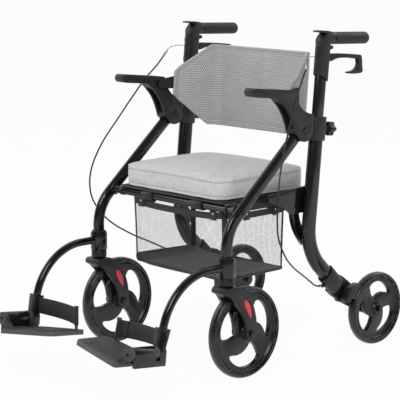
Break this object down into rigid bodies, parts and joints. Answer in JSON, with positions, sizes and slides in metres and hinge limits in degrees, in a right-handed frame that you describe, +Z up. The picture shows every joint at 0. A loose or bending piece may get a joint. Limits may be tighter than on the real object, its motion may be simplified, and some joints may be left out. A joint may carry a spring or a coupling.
{
  "type": "rollator transport chair",
  "caption": "Folding walker with a cushioned seat, banded backrest, swing-away footrests, caster front wheels, hand brakes and a net basket under the seat.",
  "frame": {"origin": "on the ground under the middle of the chair's length and width", "axes": "+Z up, the chair faces -Y, its left side is +X"},
  "size_m": [0.7688, 1.0865, 0.9304],
  "materials": {
    "frame": "gloss black paint",
    "moulding": "charcoal, fine grain",
    "tyre": "soft black",
    "rim": "satin black",
    "grip": "matt black",
    "bolt": "bright zinc",
    "linen": "light grey linen",
    "mesh": "grey woven mesh",
    "net": "black net",
    "insert": "red, gloss",
    "cable": "black sleeve",
    "strap": "black webbing"
  },
  "bodies": {
    "rear_frame": {"rear_leg_left": "frame", "rear_leg_right": "frame", "leg_clamp_left": "moulding", "leg_clamp_right": "moulding", "rear_bracket_left": "moulding", "rear_bracket_right": "moulding", "rear_cross_tube": "frame", "seat_stay_left": "frame", "seat_stay_right": "frame", "rear_frame_bolts": "bolt", "brake_cable_left": "cable", "brake_cable_right": "cable", "basket": "net"},
    "front_frame": {"front_leg_left": "frame", "front_leg_right": "frame", "armrest_left": "moulding", "armrest_right": "moulding", "caster_housing_left": "moulding", "caster_housing_right": "moulding", "seat_hinge_bar": "frame", "front_frame_bolts": "bolt"},
    "seat": {"seat_frame": "frame", "seat_cushion": "linen"},
    "backrest": {"backrest_panel": "mesh", "backrest_hinges": "moulding"},
    "caster_left": {"fork_left": "moulding", "fork_insert_left": "insert", "front_axle_left": "bolt"},
    "front_wheel_left": {"front_tyre_left": "tyre", "front_rim_left": "rim"},
    "rear_wheel_left": {"rear_tyre_left": "tyre", "rear_rim_left": "rim"},
    "brake_left": {"brake_shoe_left": "moulding"},
    "handle_left": {"handle_tube_left": "frame", "handle_housing_left": "moulding", "grip_left": "grip"},
    "lever_left": {"brake_lever_left": "moulding"},
    "knob_left": {"height_knob_left": "moulding"},
    "footrest_left": {"footrest_hanger_left": "frame", "heel_strap_left": "strap"},
    "plate_left": {"footplate_left": "moulding"},
    "caster_right": {"fork_right": "moulding", "fork_insert_right": "insert", "front_axle_right": "bolt"},
    "front_wheel_right": {"front_tyre_right": "tyre", "front_rim_right": "rim"},
    "rear_wheel_right": {"rear_tyre_right": "tyre", "rear_rim_right": "rim"},
    "brake_right": {"brake_shoe_right": "moulding"},
    "handle_right": {"handle_tube_right": "frame", "handle_housing_right": "moulding", "grip_right": "grip"},
    "lever_right": {"brake_lever_right": "moulding"},
    "knob_right": {"height_knob_right": "moulding"},
    "footrest_right": {"footrest_hanger_right": "frame", "heel_strap_right": "strap"},
    "plate_right": {"footplate_right": "moulding"}
  },
  "joints": [
    {"name": "frame_fold", "type": "hinge", "parent": "rear_frame", "child": "front_frame", "pos_m": [0, 0.12425, 0.661], "axis": [1, 0, 0], "range_deg": [0, 25], "deforming": ["basket"]},
    {"name": "seat_fold", "type": "hinge", "parent": "front_frame", "child": "seat", "pos_m": [0, -0.10992, 0.461], "axis": [1, 0, 0], "range_deg": [0, 45]},
    {"name": "backrest_flip", "type": "hinge", "parent": "front_frame", "child": "backrest", "pos_m": [0, 0.06825, 0.755], "axis": [-1, 0, 0], "range_deg": [-180, 0]},
    {"name": "caster_swivel_left", "type": "hinge", "parent": "front_frame", "child": "caster_left", "pos_m": [0.262, -0.16275, 0.264], "axis": [0, 0, 1], "continuous": true},
    {"name": "front_wheel_spin_left", "type": "hinge", "parent": "caster_left", "child": "front_wheel_left", "pos_m": [0.262, -0.09375, 0.127], "axis": [1, 0, 0], "continuous": true},
    {"name": "rear_wheel_spin_left", "type": "hinge", "parent": "rear_frame", "child": "rear_wheel_left", "pos_m": [0.278, 0.43625, 0.107], "axis": [1, 0, 0], "continuous": true},
    {"name": "handle_height_left", "type": "slide", "parent": "rear_frame", "child": "handle_left", "axis": [0, 0.0993, 0.9951], "range_m": [-0.075, 0.045], "deforming": ["brake_cable_left"]},
    {"name": "brake_lever_squeeze_left", "type": "hinge", "parent": "handle_left", "child": "lever_left", "pos_m": [0.262, 0.22108, 0.85599], "axis": [1, 0, 0], "range_deg": [0, 10], "stiffness_Nm_per_rad": 2},
    {"name": "brake_shoe_press_left", "type": "hinge", "parent": "rear_frame", "child": "brake_left", "pos_m": [0.278, 0.30751, 0.15386], "axis": [1, 0, 0], "range_deg": [-3.2, 0]},
    {"name": "height_knob_turn_left", "type": "hinge", "parent": "rear_frame", "child": "knob_left", "pos_m": [0.262, 0.18937, 0.65916], "axis": [0, 0.9951, -0.0993], "continuous": true},
    {"name": "footrest_swing_left", "type": "hinge", "parent": "front_frame", "child": "footrest_left", "pos_m": [0.262, -0.16275, 0.29], "axis": [0, 0, 1], "range_deg": [0, 90]},
    {"name": "footplate_flip_left", "type": "hinge", "parent": "footrest_left", "child": "plate_left", "pos_m": [0.262, -0.39796, 0.129], "axis": [0, 0.9925, -0.1219], "range_deg": [0, 85], "deforming": ["heel_strap_left"]},
    {"name": "caster_swivel_right", "type": "hinge", "parent": "front_frame", "child": "caster_right", "pos_m": [-0.262, -0.16275, 0.264], "axis": [0, 0, 1], "continuous": true},
    {"name": "front_wheel_spin_right", "type": "hinge", "parent": "caster_right", "child": "front_wheel_right", "pos_m": [-0.262, -0.09375, 0.127], "axis": [1, 0, 0], "continuous": true},
    {"name": "rear_wheel_spin_right", "type": "hinge", "parent": "rear_frame", "child": "rear_wheel_right", "pos_m": [-0.278, 0.43625, 0.107], "axis": [1, 0, 0], "continuous": true},
    {"name": "handle_height_right", "type": "slide", "parent": "rear_frame", "child": "handle_right", "axis": [0, 0.0993, 0.9951], "range_m": [-0.075, 0.045], "deforming": ["brake_cable_right"]},
    {"name": "brake_lever_squeeze_right", "type": "hinge", "parent": "handle_right", "child": "lever_right", "pos_m": [-0.262, 0.22108, 0.85599], "axis": [1, 0, 0], "range_deg": [0, 10], "stiffness_Nm_per_rad": 2},
    {"name": "brake_shoe_press_right", "type": "hinge", "parent": "rear_frame", "child": "brake_right", "pos_m": [-0.278, 0.30751, 0.15386], "axis": [1, 0, 0], "range_deg": [-3.2, 0]},
    {"name": "height_knob_turn_right", "type": "hinge", "parent": "rear_frame", "child": "knob_right", "pos_m": [-0.262, 0.18937, 0.65916], "axis": [0, 0.9951, -0.0993], "continuous": true},
    {"name": "footrest_swing_right", "type": "hinge", "parent": "front_frame", "child": "footrest_right", "pos_m": [-0.262, -0.16275, 0.29], "axis": [0, 0, -1], "range_deg": [0, 90]},
    {"name": "footplate_flip_right", "type": "hinge", "parent": "footrest_right", "child": "plate_right", "pos_m": [-0.262, -0.39796, 0.129], "axis": [0, -0.9925, 0.1219], "range_deg": [0, 85], "deforming": ["heel_strap_right"]}
  ],
  "couplings": [
    {"joint": "seat_fold", "follows": "frame_fold", "ratio": 1.8},
    {"joint": "brake_shoe_press_left", "follows": "brake_lever_squeeze_left", "ratio": -0.32},
    {"joint": "brake_shoe_press_right", "follows": "brake_lever_squeeze_right", "ratio": -0.32}
  ]
}
